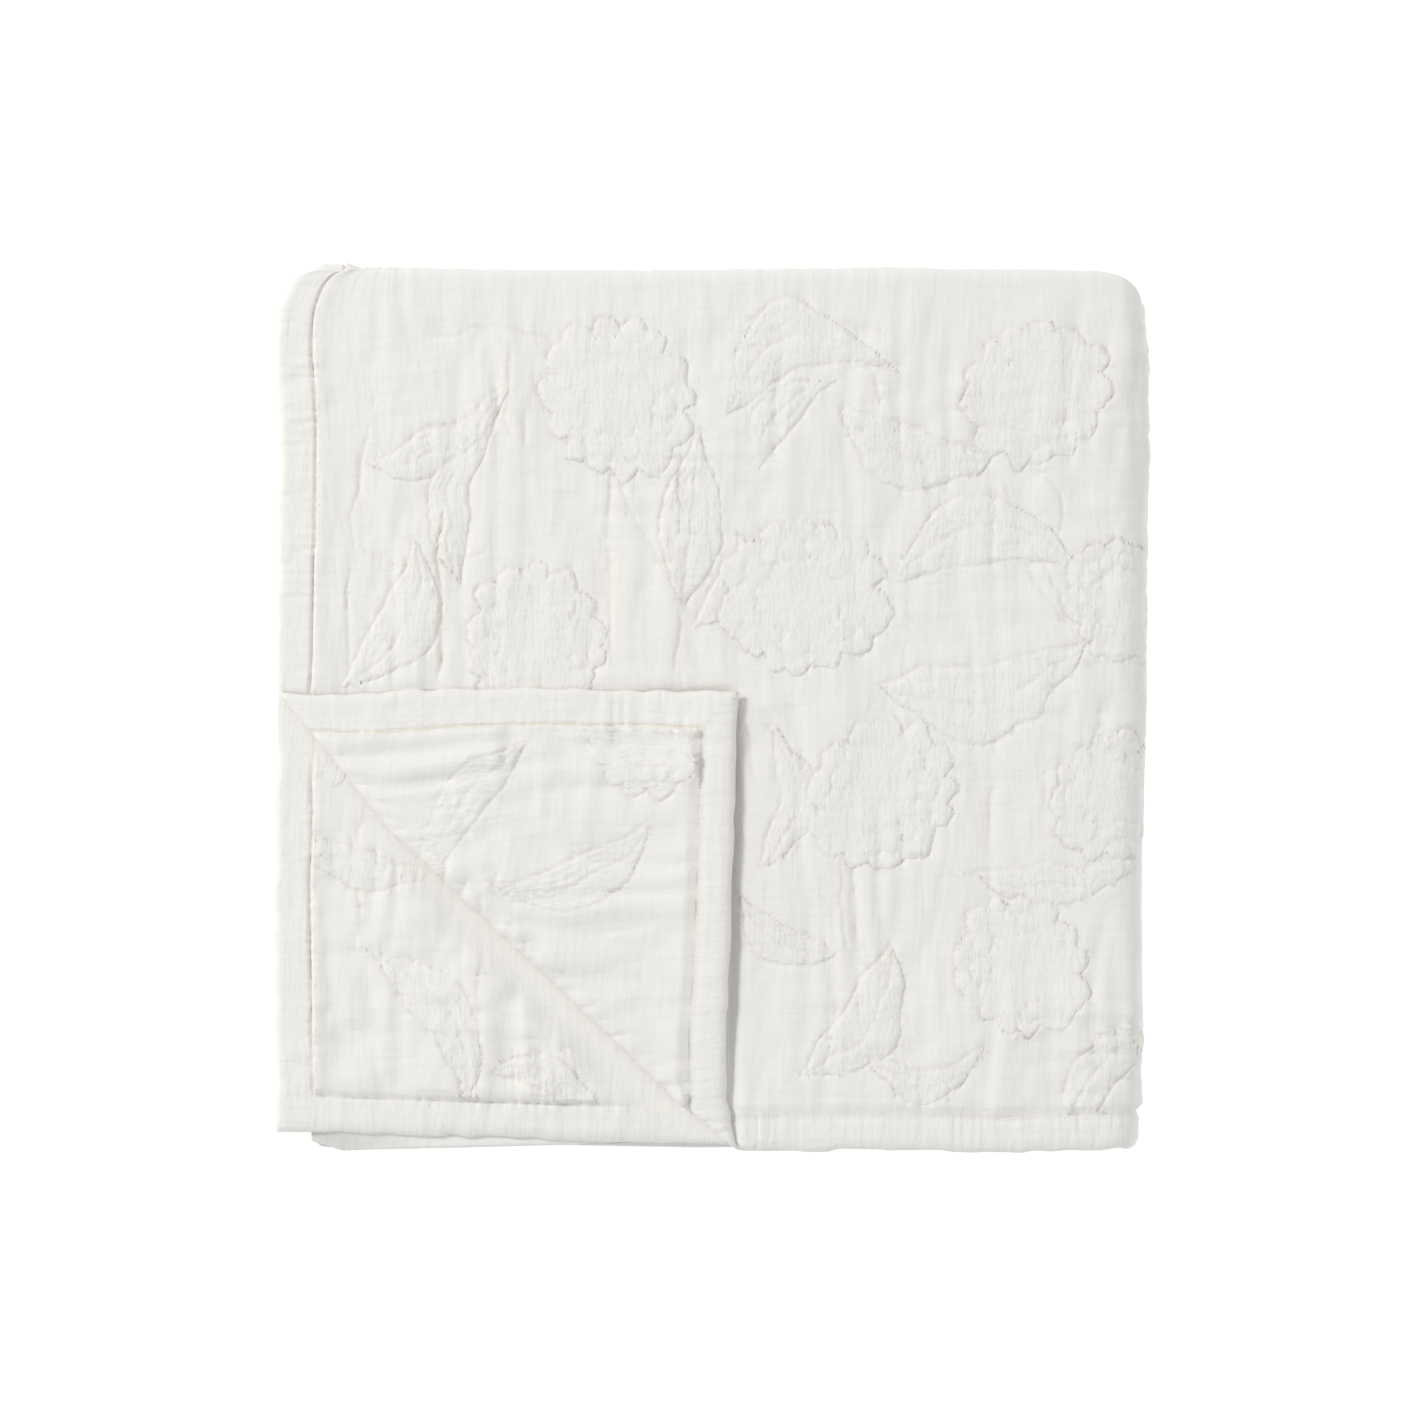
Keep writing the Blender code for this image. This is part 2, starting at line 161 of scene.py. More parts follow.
LEFT_HEM = (
    Row(0.0, 0.0),
    Row(0.150, -0.003),
    Row(0.300, 0.0),
    Row(0.380, 0.0),
    Row(0.520, 0.0025),
    Row(0.600, 0.0),
    Row(0.640, -0.001),
    Row(0.950, 0.010),
    Row(1.280, 0.026),
    Row(1.330, 0.024),
    Row(1.700, 0.008),
    Row(2.000, 0.003),
    Row(2.280, 0.001),
    Row(2.420, -0.002),
    Row(2.600, 0.0),
)
RIGHT_HEM = (
    Row(0.0, 0.012),
    Row(0.300, 0.004),
    Row(0.640, 0.007),
    Row(1.000, 0.002),
    Row(1.300, 0.010),
    Row(1.700, 0.005),
    Row(2.100, 0.001),
    Row(2.600, 0.012),
)
LOWER_HEM = (
    Row(0.0, -0.002),
    Row(0.150, 0.003),
    Row(0.240, 0.0065),
    Row(0.300, 0.005),
    Row(0.330, 0.0),
    Row(0.380, 0.0),
    Row(0.450, 0.001),
    Row(0.530, -0.001),
    Row(0.600, 0.001),
    Row(1.200, 0.006),
    Row(1.900, 0.001),
    Row(2.600, 0.005),
)
UPPER_HEM = (
    Row(0.0, 0.0),
    Row(0.030, -0.004),
    Row(0.150, 0.002),
    Row(0.300, 0.0095),
    Row(0.450, -0.002),
    Row(0.600, 0.008),
    Row(1.300, 0.006),
    Row(2.000, -0.002),
    Row(2.600, 0.004),
)
HEM_PULL = 0.110

TOP_LEFT_REACH = 0.047
TOP_LEFT_DRAW = 0.029
TOP_RIGHT_REACH = 0.042
TOP_RIGHT_DRAW = 0.019
LOWER_LEFT_REACH = 0.055
LOWER_LEFT_DRAW = 0.030
DRAW_FADE = 0.095

# The broad relief of the cloth
FACE_REST = 0.0003
FACE_FADE = 0.012
SWELL_HEIGHT = 0.0018
SWELL_PATCH = Patch(0.085, 0.150, 17)

# The puckers: long puffs along the warp in two widths, and short ones across it
RANDOM_SIDE = 256
PUFF_ROUND = 0.6
CRINKLE_HEIGHT = 0.0058
REVERSE_CRINKLES = 1.8
SWAY = 0.010
SWAY_PATCH = Patch(0.080, 0.060, 11)
WIDE_PUFFS = Patch(0.0175, 0.110, 12)
WIDE_SHARE = 0.55
NARROW_PUFFS = Patch(0.0085, 0.040, 13)
NARROW_SHARE = 0.22
CROSS_PUFFS = Patch(0.032, 0.0110, 14)
CROSS_SHARE = 0.4
LEAST_STRENGTH = 0.35
STRENGTH_SPAN = 1.2
STRENGTH_PATCH = Patch(0.060, 0.110, 15)
CROSSED_GAIN = 2.2
CROSSED_FROM = 0.55
CROSSED_CALM = 0.3
CROSSED_PATCH = Patch(0.090, 0.080, 16)

# The wrinkles along the upper bend
TOP_BAND = 0.032
TOP_CALM = 0.7
TOP_CRINKLE_HEIGHT = 0.0009
TOP_WRINKLES = Patch(0.045, 0.0080, 18)

# The flowers and leaves, which are swollen, woven closer and drawn in sunken lines
FLOWER_HEIGHT = 0.0008
LEAF_HEIGHT = 0.0009
MOTIF_EDGE = 0.4
MOTIF_CALM = 0.25
DENSE_HEIGHT = 0.0007
DENSE_PUFFS = Patch(0.0060, 0.0042, 26)
DENSE_SHARE = 0.6
DENSE_PATCH = Patch(0.0034, 0.0028, 28)
LINE_DEPTH = 0.0014
LINE_REST = 0.4
LINE_WIDTH = 0.0012
FINE_WIDTH = 0.8 * LINE_WIDTH
LEAST_DRAWN = 0.55
DRAWN_SPAN = 0.5
DRAWN_GAIN = 1.6
DRAWN_FROM = 0.2
DRAWN_PATCH = Patch(0.014, 0.018, 37)

# The weave makes every outline uneven: it bends slowly, and steps from thread to thread
OUTLINE_BEND = 0.0080
BEND_X_PATCH = Patch(0.022, 0.026, 31)
BEND_Y_PATCH = Patch(0.024, 0.020, 33)
STEP_X = 0.0018
STEP_X_PATCH = Patch(0.030, 0.0045, 32)
STEP_Y = 0.0022
STEP_Y_PATCH = Patch(0.0045, 0.030, 34)

# A flower's scalloped rings, from the outermost, and the puffs between their lines
RINGS = (
    Ring(1.00, 5, 0.0),
    Ring(0.77, 4, 0.5),
    Ring(0.52, 1, 0.2),
)
PETAL_DEPTH = 0.15
PETAL_EDGE = 0.004
LEAST_PUFF = 0.45
NOTCH_DEPTH = 0.02
FLOWER_STRETCH = 0.07
INNER_RING_DEPTH = 0.55
SPLIT_DEPTH = 0.45
SPLIT_START = 0.15
SPLIT_FADE = 0.3
FLOWERS = (
    Flower(0.387, 0.409, 0.062, 9, 0.2),
    Flower(0.446, 0.262, 0.056, 8, 0.9),
    Flower(0.251, 0.556, 0.060, 9, 0.5),
    Flower(0.560, 0.559, 0.055, 8, 0.0),
    Flower(0.549, 0.137, 0.052, 8, 0.4),
    Flower(0.189, 0.372, 0.058, 9, 0.7),
    Flower(0.620, 0.262, 0.050, 8, 0.1),
    Flower(0.622, 0.405, 0.046, 7, 0.5),
    Flower(0.034, 0.066, 0.045, 8, 0.3),
    Flower(0.045, 2.290, 0.055, 9, 0.6),
)
MIDRIB_DEPTH = 0.8
VEINS = (-0.55, 0.35, 0.68)
VEIN_DEPTH = 0.5
VEIN_START = -0.75
VEIN_END = 0.9
VEIN_FADE = 0.2
TIP_END = 1.04
TIP_FADE = 0.05
LEAVES = (
    Leaf(0.123, 0.526, 0.125, 0.034, 0.50, 0.5),
    Leaf(0.137, 0.478, 0.120, 0.030, 1.35, -0.7),
    Leaf(0.306, 0.467, 0.125, 0.044, 1.50, 0.0),
    Leaf(0.330, 0.420, 0.080, 0.026, 1.10, 0.6),
    Leaf(0.085, 0.394, 0.120, 0.042, 1.15, 0.6),
    Leaf(0.387, 0.580, 0.130, 0.052, 0.25, -0.9),
    Leaf(0.375, 0.540, 0.090, 0.030, 0.85, -0.6),
    Leaf(0.470, 0.519, 0.120, 0.044, -0.30, 0.5),
    Leaf(0.523, 0.440, 0.140, 0.050, 0.05, -0.8),
    Leaf(0.523, 0.345, 0.155, 0.058, 0.22, 0.5),
    Leaf(0.575, 0.203, 0.125, 0.030, 0.12, 0.6),
    Leaf(0.428, 0.100, 0.115, 0.046, 1.00, 0.5),
    Leaf(0.372, 0.262, 0.110, 0.032, 1.55, 0.8),
    Leaf(0.372, 0.160, 0.085, 0.028, -0.50, 0.6),
    Leaf(0.480, 0.060, 0.090, 0.028, 0.10, 0.8),
    Leaf(0.613, 0.056, 0.100, 0.034, 0.80, -0.5),
    Leaf(0.125, 0.112, 0.120, 0.036, 1.25, 0.7),
    Leaf(0.085, 0.190, 0.120, 0.034, 0.55, -0.6),
    Leaf(0.115, 2.515, 0.130, 0.042, 1.00, 0.6),
    Leaf(0.062, 2.400, 0.110, 0.030, 0.15, -0.6),
    Leaf(0.200, 2.560, 0.090, 0.028, 0.40, 0.5),
)
STEMS = (
    Stem(0.440, 0.330, 0.415, 0.210, 0.430, 0.150),
    Stem(0.435, 0.330, 0.405, 0.215, 0.420, 0.150),
    Stem(0.527, 0.490, 0.550, 0.430, 0.600, 0.360),
    Stem(0.535, 0.492, 0.560, 0.440, 0.606, 0.366),
    Stem(0.545, 0.505, 0.590, 0.500, 0.575, 0.450),
    Stem(0.250, 0.500, 0.262, 0.470, 0.300, 0.400),
    Stem(0.330, 0.600, 0.380, 0.640, 0.450, 0.600),
    Stem(0.380, 0.625, 0.440, 0.610, 0.445, 0.540),
    Stem(0.150, 0.440, 0.120, 0.420, 0.060, 0.440),
    Stem(0.480, 0.290, 0.520, 0.270, 0.575, 0.280),
    Stem(0.100, 0.590, 0.150, 0.620, 0.200, 0.600),
    Stem(0.055, 0.330, 0.045, 0.450, 0.070, 0.560),
    Stem(0.490, 0.200, 0.520, 0.210, 0.545, 0.188),
)
STEM_PIECES = 10
STEM_DEPTH = 0.8

# Deep creases that run along the warp
CREASES = (
    Crease(0.1183, 0.343, 0.482, 1.7),
    Crease(0.1720, 0.519, 0.604, 0.9),
    Crease(0.1830, 0.508, 0.556, 0.9),
    Crease(0.2256, 0.556, 0.629, 0.6),
    Crease(0.2455, 0.357, 0.512, 1.2),
    Crease(0.2962, 0.438, 0.519, 1.1),
    Crease(0.2962, 0.343, 0.409, 1.0),
    Crease(0.3506, 0.262, 0.326, 0.9),
    Crease(0.4090, 0.056, 0.188, 0.7),
    Crease(0.4645, 0.335, 0.438, 0.6),
    Crease(0.5270, 0.203, 0.279, 0.9),
    Crease(0.5637, 0.232, 0.287, 0.8),
    Crease(0.6080, 0.291, 0.394, 0.6),
    Crease(0.0620, 2.300, 2.480, 0.8),
    Crease(0.1500, 2.440, 2.560, 0.8),
    Crease(0.2150, 2.520, 2.570, 0.7),
)
CREASE_WIDTH = 0.0019
CREASE_END = 0.020

# The hem's stitched line, the gathers that it draws the cloth into, and its rolled lip
LEFT_SIDE = 0.0
RIGHT_SIDE = 0.5
LOWER_SIDE = 1.0
UPPER_SIDE = 1.5
SIDE_APART = 0.4
HEM_PAD = 0.0015
HEM_PAD_RISE = 0.005
STITCH_DEPTH = 0.0015
STITCH_WIDTH = 0.0010
LEFT_STITCH = 0.95
LEAST_STITCH = 0.25
STITCH_SPAN = 0.4
STITCH_PATCH = Patch(0.060, SIDE_APART, 29)
SEAM_SIDE = 0.0024
SEAM_WANDER = 0.0022
SEAM_PATCH = Patch(0.022, SIDE_APART, 21)
GATHER_HEIGHT = 0.0020
GATHER_REACH = 0.016
GATHER_START = 0.002
GATHER_LEAN = 0.004
LEAN_PATCH = Patch(0.030, 0.012, 22)
GATHERS = Patch(0.0080, 0.030, 23)
GATHERS_SHARE = 0.7
SMALL_GATHERS = Patch(0.0036, 0.012, 24)
SMALL_SHARE = 0.3
LEAST_GATHER = 0.15
GATHER_SPAN = 1.5
GATHER_PATCH = Patch(0.045, SIDE_APART, 25)
LIP_IN = 0.0026
LIP_WIDTH = 0.0019
LIP_HEIGHT = 0.0007
LIP_RISE = 0.0022
HEM_KNOTS = 0.6
EDGE_WAVE = 0.0013
WAVE_REACH = 0.014
WAVE_PATCH = Patch(0.012, SIDE_APART, 27)
WAVE_CALM = 0.012
WAVE_FADE = 0.02

# The lattice: a block of this many fine lines each way is one face. Of the blocks that show, the
# MOST_FINE that need it most are cut along all their lines, and the next MOST_NARROW one way only
BLOCK = 3
MOST_FINE = 5450
MOST_NARROW = 1200
CREASE_BAND = 0.006
SURE_NEED = 2.0
HEM_NEED = 1.5
LEAST_NEED = 0.25
PUFF_REACH = 0.0033
VALLEY_DEPTH = 0.0003
PROBES = (
    (0.0, 0.0),
    (0.0013, 0.0017),
    (-0.0013, -0.0017),
    (0.0013, -0.0017),
    (-0.0013, 0.0017),
)

# The material: its colours, and its noises as their scale and their stretch along and across
WHITE_WARM = (0.880, 0.848, 0.796, 1.0)
WHITE_COOL = (0.858, 0.849, 0.822, 1.0)
# Painted shade: the sunken lines of the flowers, leaves, stems and creases are coloured darker and
# warmer, for the shade and warm bounce light in them
PAINTED_LINE_SHADE = (0.82, 0.775, 0.690, 1.0)
LINE_SHADE_SHARE = 0.38
# Painted shade: the hem's stitched groove is coloured darker and yellower, for the shade that falls in it
PAINTED_STITCH_SHADE = (0.85, 0.765, 0.600, 1.0)
STITCH_SHADE_SHARE = 0.9
CLOUD_SCALE = 11.0
THREAD_SCALE = 1000.0
THREAD_BUMP = 0.06
FOLD_SCALE = 210.0
FOLDS_ALONG = 1.8
FOLDS_ACROSS = 1.5
RIB_SCALE = 420.0
RIB_BUMP = 0.75
KNOT_SCALE = 700.0
KNOT_BUMP = 0.25
BUMP_STRENGTH = 0.8
BUMP_DISTANCE = 0.0012
COTTON_ROUGHNESS = 0.92
COTTON_GLOSS = 0.15

# The floor and the lights
FLOOR_SIDE = 14.0
FLOOR_BELOW = 0.0004
FLOOR_GREY = (0.20, 0.20, 0.20, 1.0)
FLOOR_GLOW = 0.93
WHITE = (1.0, 1.0, 1.0, 1.0)
LAMPS = (
    Lamp("key", "SUN", 1.30, 0.25, (-2.2, 1.5, 2.0)),
    Lamp("side", "AREA", 4.4, 0.8, (-1.5, 0.5, 1.2)),
    Lamp("fill", "SUN", 0.44, 0.6, (2.2, -1.0, 1.6)),
)
SKY_COLOUR = (0.97, 0.985, 1.0, 1.0)
SKY_STRENGTH = 0.575

# The photograph's frame
FRAME_PIXELS = 1420
PIXEL = 0.000735
LENS = 85.0
SENSOR = 36.0


def read_rows(rows, at):
    """The table's value at each place, in straight lines between its rows."""
    return np.interp(at, [row.at for row in rows], [row.out for row in rows])


def ease(value):
    """A smooth step from 0 to 1."""
    held = np.clip(value, 0.0, 1.0)
    return held * held * (3.0 - 2.0 * held)


def drift(x, y, patch):
    """Smooth random values from 0 to 1, in patches of this size."""
    table = np.random.default_rng(patch.seed).random((RANDOM_SIDE, RANDOM_SIDE))
    across, up = x / patch.x + 7.3, y / patch.y + 3.1
    column, row = np.floor(across).astype(int), np.floor(up).astype(int)
    part_x, part_y = ease(across - column), ease(up - row)

    def corner(add_x, add_y):
        return table[(column + add_x) % RANDOM_SIDE, (row + add_y) % RANDOM_SIDE]

    low = corner(0, 0) * (1 - part_x) + corner(1, 0) * part_x
    high = corner(0, 1) * (1 - part_x) + corner(1, 1) * part_x
    return low * (1 - part_y) + high * part_y


def creased(x, y, patch):
    """Soft puffs with narrow valleys between them, in patches of this size, from 0 to 1."""
    return np.abs(2.0 * drift(x, y, patch) - 1.0) ** PUFF_ROUND


def crinkles(x, y):
    """The puckers of the weave: long puffs along the warp, with some across it, of several sizes."""
    sway = SWAY * (drift(x, y, SWAY_PATCH) - 0.5)
    wide = creased(x + sway, y, WIDE_PUFFS)
    narrow = creased(x + sway, y, NARROW_PUFFS)
    cross = creased(x, y + sway, CROSS_PUFFS)
    strength = LEAST_STRENGTH + STRENGTH_SPAN * drift(x, y, STRENGTH_PATCH)
    crossed = ease(CROSSED_GAIN * drift(x, y, CROSSED_PATCH) - CROSSED_FROM)
    rows = WIDE_SHARE * wide + NARROW_SHARE * narrow
    puffs = rows * (1 - CROSSED_CALM * crossed) + CROSS_SHARE * cross * crossed
    height = CRINKLE_HEIGHT * strength * puffs
    # The cloth wrinkles along the upper bend, where it is pulled over it
    beside_bend = ease((y - LENGTH_2.start) / TOP_BAND + 1.0) * (y < LENGTH_1.start)
    wrinkles = TOP_CRINKLE_HEIGHT * creased(x, y, TOP_WRINKLES)
    return height * (1.0 - TOP_CALM * beside_bend) + wrinkles * beside_bend


def swells(x, y):
    """Broad soft swells, as the layers under the cloth lie unevenly."""
    return SWELL_HEIGHT * drift(x, y, SWELL_PATCH)


def line(distance, width=LINE_WIDTH):
    """How deep a sunken line is at this distance from it, from 0 to 1."""
    return np.exp(-((distance / width) ** 2))


def flower_relief(x, y, flower):
    """A flower of scalloped rings: how high its petals swell, and where its sunken lines are."""
    across, up = x - flower.x, y - flower.y
    out = np.hypot(across, up)
    angle = np.arctan2(up, across) + flower.turn
    swell, lines = np.zeros_like(x), np.zeros_like(x)
    edges = []
    for ring in RINGS:
        petals = flower.petals + ring.petals
        uneven = 1.1 * np.sin(2 * angle + ring.share * 9) + 0.8 * np.sin(3 * angle + ring.share * 17)
        phase = (petals * (angle + ring.shift) + uneven) / 2
        depth = PETAL_DEPTH * (0.6 + 0.6 * np.sin(3 * angle + ring.share * 29 + flower.turn) ** 2)
        scallop = 1.0 - depth * (1.0 - np.abs(np.cos(phase)))
        scallop = scallop - NOTCH_DEPTH * (1.0 - np.abs(np.cos(2.5 * phase + ring.shift)))
        stretch = 1.0 + FLOWER_STRETCH * np.sin(2 * angle + flower.turn * 5)
        edges.append((flower.radius * ring.share * scallop * stretch, petals, phase))
    for place, (edge, petals, phase) in enumerate(edges):
        inner = edges[place + 1][0] if place + 1 < len(edges) else np.zeros_like(x)
        within = (out < edge) & (out >= inner)
        share = np.clip((out - inner) / np.maximum(edge - inner, 1e-5), 0.0, 1.0)
        between = out * np.abs(np.arcsin(np.clip(np.cos(phase), -1.0, 1.0))) * 2 / petals
        puff = np.sqrt(4.0 * share * (1.0 - share)) * ease(between / PETAL_EDGE)
        drawn = 1.0 if place == 0 else INNER_RING_DEPTH
        lines = np.maximum(lines, drawn * line(np.abs(out - edge)))
        if place + 1 < len(edges):
            split = line(between, FINE_WIDTH) * ease((share - SPLIT_START) / SPLIT_FADE) * within
            lines = np.maximum(lines, SPLIT_DEPTH * split)
        swell = np.where(within, LEAST_PUFF + (1.0 - LEAST_PUFF) * puff, swell)
    return FLOWER_HEIGHT * swell, lines


def leaf_relief(x, y, leaf):
    """A pointed leaf along a curved midrib, with long veins beside it."""
    across, up = x - leaf.x, y - leaf.y
    along = (across * math.cos(leaf.turn) + up * math.sin(leaf.turn)) / leaf.length * 2.0
    bend = leaf.curl * leaf.width * (along**2 - 0.5)
    side = -across * math.sin(leaf.turn) + up * math.cos(leaf.turn) - bend
    half = leaf.width / 2 * np.clip(1.0 - along**2, 0.0, 1.0) * (1.0 - 0.25 * along)
    within = (np.abs(side) < half) & (np.abs(along) < 1.0)
    share = side / np.maximum(half, 1e-6)
    swell = np.where(within, np.sqrt(np.clip(1.0 - share**2, 0.0, 1.0)), 0.0)
    near_ends = ease((TIP_END - np.abs(along)) / TIP_FADE)
    lines = line(np.abs(np.abs(side) - half)) * near_ends
    lines = np.maximum(lines, MIDRIB_DEPTH * line(side) * within)
    run = ease((VEIN_END - along) / VEIN_FADE) * ease((along - VEIN_START) / VEIN_FADE)
    for vein in VEINS:
        drawn = line(side - vein * half, FINE_WIDTH)
        lines = np.maximum(lines, VEIN_DEPTH * drawn * within * run)
    return LEAF_HEIGHT * swell, lines


def stem_lines(x, y, stem):
    """A sunken line along a curve through the stem's ends, drawn towards its middle point."""
    part = np.linspace(0.0, 1.0, STEM_PIECES + 1)
    at_x = (1 - part) ** 2 * stem.x0 + 2 * part * (1 - part) * stem.x1 + part**2 * stem.x2
    at_y = (1 - part) ** 2 * stem.y0 + 2 * part * (1 - part) * stem.y1 + part**2 * stem.y2
    nearest = np.full_like(x, 1.0)
    for x0, y0, x1, y1 in zip(at_x[:-1], at_y[:-1], at_x[1:], at_y[1:]):
        run_x, run_y = x1 - x0, y1 - y0
        share = np.clip(((x - x0) * run_x + (y - y0) * run_y) / (run_x**2 + run_y**2), 0.0, 1.0)
        nearest = np.minimum(nearest, np.hypot(x - x0 - share * run_x, y - y0 - share * run_y))
    return line(nearest)


def motifs(x, y):
    """The flowers, leaves and stems together: their swelling and their lines."""
    slow_x = OUTLINE_BEND * (drift(x, y, BEND_X_PATCH) - 0.5)
    slow_y = OUTLINE_BEND * (drift(x, y, BEND_Y_PATCH) - 0.5)
    step_x = STEP_X * (drift(x, y, STEP_X_PATCH) - 0.5)
    step_y = STEP_Y * (drift(x, y, STEP_Y_PATCH) - 0.5)
    x, y = x + slow_x + step_x, y + slow_y + step_y
    swell, lines = np.zeros_like(x), np.zeros_like(x)
    for crease in CREASES:
        run = ease((y - crease.low) / CREASE_END) * ease((crease.high - y) / CREASE_END)
        lines = np.maximum(lines, crease.depth * run * line(x - crease.x, CREASE_WIDTH))
    for stem in STEMS:
        lines = np.maximum(lines, STEM_DEPTH * stem_lines(x, y, stem))
    for leaf in LEAVES:
        raised, drawn = leaf_relief(x, y, leaf)
        lines = np.maximum(np.where(raised > 0.0, lines * (lines > 1.0), lines), drawn)
        swell = np.maximum(swell, raised)
    for flower in FLOWERS:
        raised, drawn = flower_relief(x, y, flower)
        lines = np.where(raised > 0.0, drawn, np.maximum(lines, drawn))
        swell = np.where(raised > 0.0, raised, swell)
    # Some stretches of every line are drawn in less than others
    drawn_in = ease(DRAWN_GAIN * drift(x, y, DRAWN_PATCH) - DRAWN_FROM)
    return swell, lines * (LEAST_DRAWN + DRAWN_SPAN * drawn_in)


def hem_places(x, y):
    """How far in from the nearest edge each point is, where along that edge it lies, and its side."""
    edges = np.stack([x, SPREAD - x, y, SPREAD - y])
    nearest = np.argmin(edges, axis=0)
    side = np.array([LEFT_SIDE, RIGHT_SIDE, LOWER_SIDE, UPPER_SIDE])[nearest]
    return np.min(edges, axis=0), np.where(side < LOWER_SIDE, y, x), side


def hem_relief(x, y):
    """The stitched line of the hem, the gathers beside it, and its rolled lip."""
    inside, run, side = hem_places(x, y)
    from_line = inside + SEAM_WANDER * (drift(run, side, SEAM_PATCH) - 0.5) - HEM
    # Each gather leans and spreads as it leaves the stitches
    lean = GATHER_LEAN * (drift(run, inside + side, LEAN_PATCH) - 0.5)
    folds = creased(run + lean, inside + side, GATHERS)
    small = creased(run - lean, inside + side, SMALL_GATHERS)
    gather = GATHERS_SHARE * folds + SMALL_SHARE * small
    beyond = 1.0 - ease((from_line - GATHER_START) / GATHER_REACH)
    strength = LEAST_GATHER + GATHER_SPAN * drift(run, side, GATHER_PATCH)
    lip = np.exp(-(((inside - LIP_IN) / LIP_WIDTH) ** 2))
    height = GATHER_HEIGHT * gather * beyond * strength + LIP_HEIGHT * lip
    padded = HEM_PAD * ease(inside / HEM_PAD_RISE) * ease(-from_line / SEAM_SIDE)
    # The stitches pull in deeper along the left hem than along the others
    loose = LEAST_STITCH + STITCH_SPAN * drift(run, side, STITCH_PATCH)
    depth = np.where(side == LEFT_SIDE, LEFT_STITCH, loose)
    stitched = line(from_line, STITCH_WIDTH) * depth * (0.8 + 0.2 * folds)
    return height * ease(inside / LIP_RISE) + padded, stitched, ease((inside - HEM) / SEAM_SIDE)


def relief(x, y, crinkle_share):
    """How far the cloth stands up, its woven and stitched lines, and where it is knotty."""
    swell, lines = motifs(x, y)
    height, stitched, open_cloth = hem_relief(x, y)
    inside = ease(swell / (MOTIF_EDGE * LEAF_HEIGHT))
    dense = DENSE_SHARE * creased(x, y, DENSE_PUFFS) + (1.0 - DENSE_SHARE) * drift(x, y, DENSE_PATCH)
    woven = crinkle_share * crinkles(x, y) * (1.0 - MOTIF_CALM * inside) + swell + swells(x, y)
    woven = woven + DENSE_HEIGHT * dense * inside
    up = FACE_REST + height + open_cloth * (woven + LINE_DEPTH * (LINE_REST - lines))
    up = np.maximum(up - STITCH_DEPTH * stitched, 0.0)
    return up, lines * open_cloth, stitched, inside * open_cloth + HEM_KNOTS * (1.0 - open_cloth)


def past_crease(x, y):
    """How far a point of the flat cloth lies past the turned corner's crease, towards the corner."""
    return (CORNER - x - y) / math.sqrt(2.0)


def shape_faces(points, on_face):
    """Swells the hems and raises the relief on the faces that show."""
    x, y, z = points.T
    edge = np.minimum(np.minimum(x, SPREAD - x), np.minimum(y, SPREAD - y))
    swell = np.where(edge < HEM + 1e-6, HEM_SWELL, 0.0)
    # The face lies flat under the turned corner, and again past the outermost bends
    uncovered = ease((np.maximum(x, y) - CORNER_EDGE) / EDGE_FADE)
    round_right = ease(2.0 - (x - WIDTH_2.start) / (math.pi / 2 * WIDTH_2.radius))
    round_top = ease(2.0 - (y - LENGTH_2.start) / (math.pi / 2 * LENGTH_2.radius))
    front = relief(x, y, 1.0)[0] * uncovered * round_right * round_top
    # The reverse shows on the turned corner, and on the layer that it leaves bare
    turned = ease((past_crease(x, y) - math.pi / 3 * (CLOTH + CORNER_LIFT)) / FACE_FADE)
    bare = ease((past_crease(x, SPREAD - y) - HEM) / HEM)
    back = relief(x, y, REVERSE_CRINKLES)[0] * np.maximum(turned, bare)
    side = np.where(on_face, 1.0, -1.0)
    points[:, 2] = z + side * (swell + np.where(on_face, front, back))
    return points


def pull_hems(points):
    """Moves each hem in or out of line, and lets the cloth beside it follow."""
    x, y = points[:, 0].copy(), points[:, 1].copy()

    def near(distance):
        return 1.0 - ease((distance - HEM) / HEM_PULL)

    points[:, 0] += read_rows(LEFT_HEM, y) * near(x) - read_rows(RIGHT_HEM, y) * near(SPREAD - x)
    points[:, 1] += read_rows(LOWER_HEM, x) * near(y) - read_rows(UPPER_HEM, x) * near(SPREAD - y)
    # The very edge is wavy between its gathers
    inside, run, side = hem_places(x, y)
    wave = EDGE_WAVE * (2.0 * drift(run, side, WAVE_PATCH) - 1.0)
    off_crease = ease((np.abs(past_crease(x, y)) - WAVE_CALM) / WAVE_FADE)
    wave = wave * (1.0 - ease(inside / WAVE_REACH)) * off_crease
    points[:, 0] += np.where(side == LEFT_SIDE, wave, np.where(side == RIGHT_SIDE, -wave, 0.0))
    points[:, 1] += np.where(side == LOWER_SIDE, wave, np.where(side == UPPER_SIDE, -wave, 0.0))
    return points


def turn_corner(points):
    """Turns the lower left corner up and over, on to the face of the cloth."""
    radius = CLOTH + CORNER_LIFT
    x, y, z = points.T.copy()
    past = past_crease(x, y)
    along = (x - y) / math.sqrt(2.0)
    angle = np.clip(past / radius, 0.0, math.pi)
    reach = CORNER_LIFT - z
    beyond = np.maximum(past - math.pi * radius, 0.0)
    out = np.where(past > 0.0, reach * np.sin(angle) - beyond, past)
    bow = read_rows(CORNER_CREASE, along + CORNER / math.sqrt(2.0))
    out += bow * (1.0 - ease(np.abs(out) / BOW_REACH))
    foot = CORNER / math.sqrt(2.0)
    points[:, 0] = (foot - out + along) / math.sqrt(2.0)
    points[:, 1] = (foot - out - along) / math.sqrt(2.0)
    rise = CORNER_RISE * (1.0 - ease(y / RISE_REACH)) * ease(beyond / RISE_REACH)
    points[:, 2] = np.where(past > 0.0, CORNER_LIFT - reach * np.cos(angle) + rise, z)
    return points


